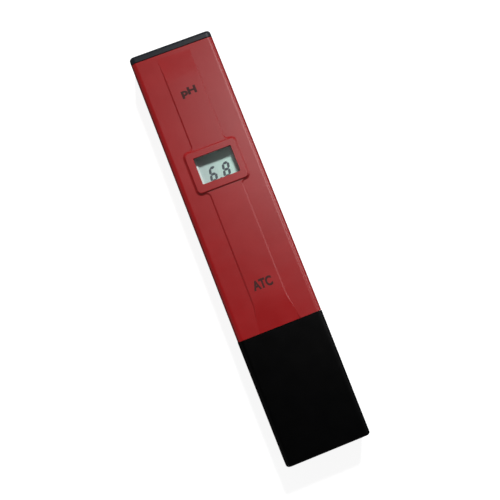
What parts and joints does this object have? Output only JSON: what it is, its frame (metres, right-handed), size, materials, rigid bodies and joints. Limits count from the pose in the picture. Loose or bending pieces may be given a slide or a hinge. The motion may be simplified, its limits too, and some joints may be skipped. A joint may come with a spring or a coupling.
{
  "type": "ph test pen",
  "caption": "Flat pocket pH test pen: red two-shell body with raised centre strip, bezelled display window, black end cap and pull-off black probe cap.",
  "frame": {"origin": "centre of the footprint, on the plane that the rear face rests on", "axes": "+X to the right seen from the front with the battery end up, +Y along the pen towards the battery end, +Z out of the front face"},
  "size_m": [0.0306, 0.15, 0.015],
  "materials": {
    "red_shell": "injection-moulded ABS, satin gloss, fine moulding texture",
    "neck_shell": "injection-moulded ABS, satin gloss",
    "end_cap_black": "injection-moulded ABS, satin, slightly mottled",
    "drawer_black": "injection-moulded ABS, satin",
    "cap_black": "injection-moulded polypropylene, satin black",
    "knob_black": "moulded acetal, matt",
    "clear_window": "clear acrylic window, polished",
    "lcd_holder": "white moulded plastic",
    "lcd_glass": "float glass, polished",
    "polariser": "grey-green polarising film",
    "reflector": "brushed diffusing foil",
    "zebra_rubber": "silicone rubber with carbon layers",
    "board_green": "green solder mask on glass-fibre laminate",
    "chip_black": "moulded epoxy",
    "resistor_black": "glazed ceramic chip with tinned ends",
    "capacitor_tan": "ceramic chip with tinned ends",
    "solder": "reflowed tin solder",
    "steel_screw": "zinc-plated steel",
    "trimmer_blue": "moulded housing",
    "trimmer_white": "moulded nylon",
    "switch_metal": "nickel-plated sheet",
    "switch_plastic": "phenolic",
    "contact_metal": "nickel-plated spring sheet",
    "cell_metal": "drawn nickel-plated can",
    "probe_black": "moulded plastic",
    "seal_rubber": "silicone rubber",
    "probe_glass": "blown glass",
    "stopper_rubber": "silicone rubber",
    "silver_wire": "drawn silver wire",
    "junction_white": "porous ceramic",
    "thermistor_steel": "drawn stainless tube",
    "bead_black": "epoxy-dipped bead",
    "lead_red": "PVC insulation",
    "lead_black": "PVC insulation",
    "lead_white": "PVC insulation",
    "print_ink": "pad-printed ink",
    "lcd_segment": "darkened liquid crystal",
    "sponge_white": "open-cell cellulose sponge"
  },
  "bodies": {
    "housing": {"front_cover": "red_shell", "rear_cover": "red_shell", "top_end_cap": "end_cap_black", "window_lens": "clear_window", "lcd_frame": "lcd_holder", "lcd_glass": "lcd_glass", "lcd_front_polariser": "polariser", "lcd_reflector": "reflector", "zebra_strip_upper": "zebra_rubber", "zebra_strip_lower": "zebra_rubber", "circuit_board": "board_green", "controller_blob": "chip_black", "op_amp_chip": "chip_black", "chip_resistors": "resistor_black", "chip_capacitors": "capacitor_tan", "solder_joints": "solder", "trimmer_body": "trimmer_blue", "switch_base": "switch_plastic", "switch_can": "switch_metal", "switch_pins": "contact_metal", "battery_end_contact": "contact_metal", "battery_side_contact": "contact_metal", "board_screw_1": "steel_screw", "board_screw_2": "steel_screw", "board_screw_3": "steel_screw", "board_screw_4": "steel_screw", "probe_sleeve": "neck_shell", "probe_carrier": "probe_black", "carrier_seal": "seal_rubber", "glass_stem": "probe_glass", "glass_bulb": "probe_glass", "stem_stopper": "stopper_rubber", "reference_stopper": "stopper_rubber", "sensing_wire": "silver_wire", "reference_wire": "silver_wire", "reference_junction": "junction_white", "thermistor_sleeve": "thermistor_steel", "thermistor_bead": "bead_black", "electrode_lead": "lead_red", "reference_lead": "lead_black", "thermistor_lead_1": "lead_white", "thermistor_lead_2": "lead_white"},
    "battery_drawer": {"battery_drawer": "drawer_black", "drawer_contact": "contact_metal", "button_cell_1": "cell_metal", "button_cell_2": "cell_metal", "button_cell_3": "cell_metal"},
    "power_switch_slider": {"switch_knob": "knob_black", "switch_actuator": "switch_plastic"},
    "calibration_rotor": {"trimmer_rotor": "trimmer_white"},
    "protective_cap": {"protective_cap": "cap_black", "storage_sponge": "sponge_white"}
  },
  "joints": [
    {"name": "cap_pull", "type": "slide", "parent": "housing", "child": "protective_cap", "axis": [0, -1, 0], "range_m": [0, 0.04]},
    {"name": "drawer_slide", "type": "slide", "parent": "housing", "child": "battery_drawer", "axis": [0, 1, 0], "range_m": [0, 0.024]},
    {"name": "power_switch_slide", "type": "slide", "parent": "housing", "child": "power_switch_slider", "axis": [1, 0, 0], "range_m": [-0.002, 0]},
    {"name": "calibration_turn", "type": "hinge", "parent": "housing", "child": "calibration_rotor", "pos_m": [0.0045, 0.0042, 0.0023], "axis": [0, 0, -1], "range_deg": [-130, 130]}
  ]
}
